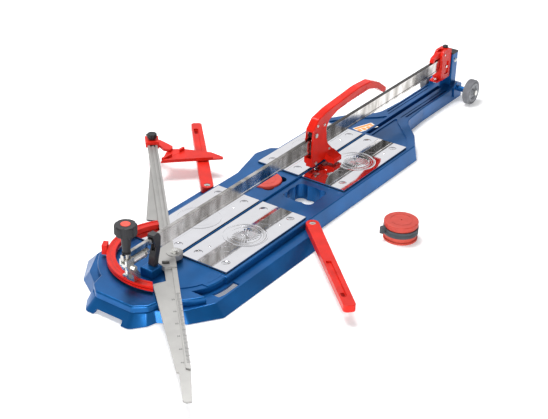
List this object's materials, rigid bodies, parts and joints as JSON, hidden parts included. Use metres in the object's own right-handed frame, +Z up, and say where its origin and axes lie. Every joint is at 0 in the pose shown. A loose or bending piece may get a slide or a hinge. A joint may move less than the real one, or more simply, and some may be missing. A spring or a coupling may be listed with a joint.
{
  "type": "tile cutter",
  "caption": "Manual push tile cutter with a rail, wheeled base, handle carriage, spring plates, swivelling angle gauge and fold-out support arms.",
  "frame": {"origin": "centre of the model's footprint, on the floor", "axes": "+X along the rail towards the transport wheels, +Y to the far side, +Z up"},
  "size_m": [1.8688, 0.9484, 0.2268],
  "materials": {
    "blue_casting": "glossy metallic paint",
    "blue_parts": "glossy metallic paint",
    "black_paint": "satin",
    "rail_steel": "polished",
    "mirror_plate": "mirror polished, stamped",
    "pad_rubber": "matte",
    "red_paint": "glossy paint",
    "red_plastic": "moulded",
    "gauge_aluminium": "brushed, anodised",
    "black_plastic": "moulded",
    "red_cap": "moulded",
    "grey_tyre": "ribbed tread",
    "grey_plastic": "moulded",
    "zinc_steel": "zinc plated",
    "hard_metal": "ground",
    "puck_body": "moulded",
    "puck_top": "matte",
    "strap_rubber": "matte"
  },
  "bodies": {
    "base": {"base_casting": "blue_casting", "leg_seat": "blue_casting", "breaker_rib": "blue_parts", "rubber_feet": "pad_rubber", "rail": "rail_steel", "front_bracket": "zinc_steel", "tie_spacer": "zinc_steel", "front_leg": "black_paint", "base_bolts": "zinc_steel", "rear_post": "blue_parts", "post_cap": "black_plastic", "rear_clamp": "red_paint", "clamp_screws": "zinc_steel", "axle_brackets": "blue_parts", "wheel_axle": "zinc_steel", "plate_pins": "zinc_steel", "plate_springs": "zinc_steel"},
    "carriage": {"carriage_block": "zinc_steel", "carriage_pins": "zinc_steel"},
    "lever": {"handle_lever": "red_paint", "wheel_holder": "red_paint", "breaker_foot": "red_paint", "lever_screws": "zinc_steel"},
    "scoring": {"scoring_wheel": "hard_metal"},
    "roller_uf": {"roller_upper_front": "black_plastic"},
    "roller_ur": {"roller_upper_rear": "black_plastic"},
    "roller_lf": {"roller_lower_front": "black_plastic"},
    "roller_lr": {"roller_lower_rear": "black_plastic"},
    "gauge": {"gauge_hub": "gauge_aluminium", "gauge_bar_near": "gauge_aluminium", "gauge_bar_far": "gauge_aluminium", "gauge_end_cap": "black_plastic", "protractor_ring": "red_plastic", "ring_pointer": "red_plastic"},
    "lateral_stop": {"stop_bracket": "red_plastic", "stop_fence": "red_plastic"},
    "stop_screw": {"stop_knob": "black_plastic"},
    "ring_lock": {"lock_knob": "black_plastic", "knob_cap": "red_cap", "lock_screw": "zinc_steel"},
    "near_arm": {"arm_near": "red_plastic"},
    "far_arm": {"arm_far": "red_plastic"},
    "front_near_plate": {"plate_front_near": "mirror_plate", "pad_front_near": "pad_rubber"},
    "front_far_plate": {"plate_front_far": "mirror_plate", "pad_front_far": "pad_rubber"},
    "rear_near_plate": {"plate_rear_near": "mirror_plate", "pad_rear_near": "pad_rubber"},
    "rear_far_plate": {"plate_rear_far": "mirror_plate", "pad_rear_far": "pad_rubber"},
    "stored_puck": {"puck_stored": "puck_top"},
    "loose_puck": {"puck_base": "puck_body", "puck_strap": "strap_rubber", "puck_cap": "puck_top"},
    "near_wheel": {"wheel_near": "grey_plastic", "tyre_near": "grey_tyre"},
    "far_wheel": {"wheel_far": "grey_plastic", "tyre_far": "grey_tyre"},
    "catch": {"carriage_catch": "red_plastic"}
  },
  "joints": [
    {"name": "carriage_slide", "type": "slide", "parent": "base", "child": "carriage", "axis": [1, 0, 0], "range_m": [-0.555, 0.25]},
    {"name": "lever_hinge", "type": "hinge", "parent": "carriage", "child": "lever", "pos_m": [0.1084, -0.00907, 0.15855], "axis": [0, 1, 0], "range_deg": [-18, 0]},
    {"name": "scoring_spin", "type": "hinge", "parent": "lever", "child": "scoring", "pos_m": [0.1404, -0.00907, 0.0675], "axis": [0, 1, 0], "continuous": true},
    {"name": "roller_uf_spin", "type": "hinge", "parent": "carriage", "child": "roller_uf", "pos_m": [0.1084, -0.00907, 0.15855], "axis": [0, 1, 0], "continuous": true},
    {"name": "roller_ur_spin", "type": "hinge", "parent": "carriage", "child": "roller_ur", "pos_m": [0.1584, -0.00907, 0.15855], "axis": [0, 1, 0], "continuous": true},
    {"name": "roller_lf_spin", "type": "hinge", "parent": "carriage", "child": "roller_lf", "pos_m": [0.1084, -0.00907, 0.10145], "axis": [0, 1, 0], "continuous": true},
    {"name": "roller_lr_spin", "type": "hinge", "parent": "carriage", "child": "roller_lr", "pos_m": [0.1584, -0.00907, 0.10145], "axis": [0, 1, 0], "continuous": true},
    {"name": "gauge_turn", "type": "hinge", "parent": "base", "child": "gauge", "pos_m": [-0.4916, -0.00907, 0.053], "axis": [0, 0, 1], "range_deg": [0, 92]},
    {"name": "stop_slide", "type": "slide", "parent": "gauge", "child": "lateral_stop", "axis": [0.7242, 0.6896, 0], "range_m": [-0.38, 0.018]},
    {"name": "stop_knob_turn", "type": "hinge", "parent": "lateral_stop", "child": "stop_screw", "pos_m": [-0.05047, 0.42965, 0.075], "axis": [0, 0, 1], "range_deg": [0, 360]},
    {"name": "lock_knob_turn", "type": "hinge", "parent": "base", "child": "ring_lock", "pos_m": [-0.6676, -0.00907, 0.1485], "axis": [0, 0, 1], "range_deg": [0, 360]},
    {"name": "near_arm_swing", "type": "hinge", "parent": "base", "child": "near_arm", "pos_m": [-0.1386, -0.18107, 0.031], "axis": [0, 0, 1], "range_deg": [-46.5, 63.5]},
    {"name": "far_arm_swing", "type": "hinge", "parent": "base", "child": "far_arm", "pos_m": [-0.1386, 0.16293, 0.031], "axis": [0, 0, -1], "range_deg": [-137.6, 2.4]},
    {"name": "front_near_tilt", "type": "hinge", "parent": "base", "child": "front_near_plate", "pos_m": [-0.2991, -0.14607, 0.0406], "axis": [-1, 0, 0], "range_deg": [0, 1], "stiffness_Nm_per_rad": 400, "springref_deg": -0.57, "deforming": ["plate_springs"]},
    {"name": "front_far_tilt", "type": "hinge", "parent": "base", "child": "front_far_plate", "pos_m": [-0.2991, 0.12793, 0.0406], "axis": [1, 0, 0], "range_deg": [0, 1], "stiffness_Nm_per_rad": 400, "springref_deg": -0.57, "deforming": ["plate_springs"]},
    {"name": "rear_near_tilt", "type": "hinge", "parent": "base", "child": "rear_near_plate", "pos_m": [0.2264, -0.14607, 0.0406], "axis": [-1, 0, 0], "range_deg": [0, 1], "stiffness_Nm_per_rad": 400, "springref_deg": -0.57, "deforming": ["plate_springs"]},
    {"name": "rear_far_tilt", "type": "hinge", "parent": "base", "child": "rear_far_plate", "pos_m": [0.2264, 0.12793, 0.0406], "axis": [1, 0, 0], "range_deg": [0, 1], "stiffness_Nm_per_rad": 400, "springref_deg": -0.57, "deforming": ["plate_springs"]},
    {"name": "stored_puck_lift", "type": "slide", "parent": "base", "child": "stored_puck", "axis": [0, 0, 1], "range_m": [0, 0.08]},
    {"name": "loose_puck_lift", "type": "slide", "parent": "base", "child": "loose_puck", "axis": [0, 0, 1], "range_m": [0, 0.06]},
    {"name": "near_wheel_spin", "type": "hinge", "parent": "base", "child": "near_wheel", "pos_m": [0.8944, -0.00907, 0.04], "axis": [0, 1, 0], "continuous": true},
    {"name": "far_wheel_spin", "type": "hinge", "parent": "base", "child": "far_wheel", "pos_m": [0.8944, -0.00907, 0.04], "axis": [0, 1, 0], "continuous": true},
    {"name": "catch_lift", "type": "hinge", "parent": "base", "child": "catch", "pos_m": [0.8404, -0.00907, 0.162], "axis": [0, 1, 0], "range_deg": [0, 60]}
  ],
  "couplings": [
    {"joint": "roller_uf_spin", "follows": "carriage_slide", "rad_per_m": 100},
    {"joint": "roller_ur_spin", "follows": "carriage_slide", "rad_per_m": 100},
    {"joint": "roller_lf_spin", "follows": "carriage_slide", "rad_per_m": -142.86},
    {"joint": "roller_lr_spin", "follows": "carriage_slide", "rad_per_m": -142.86}
  ]
}
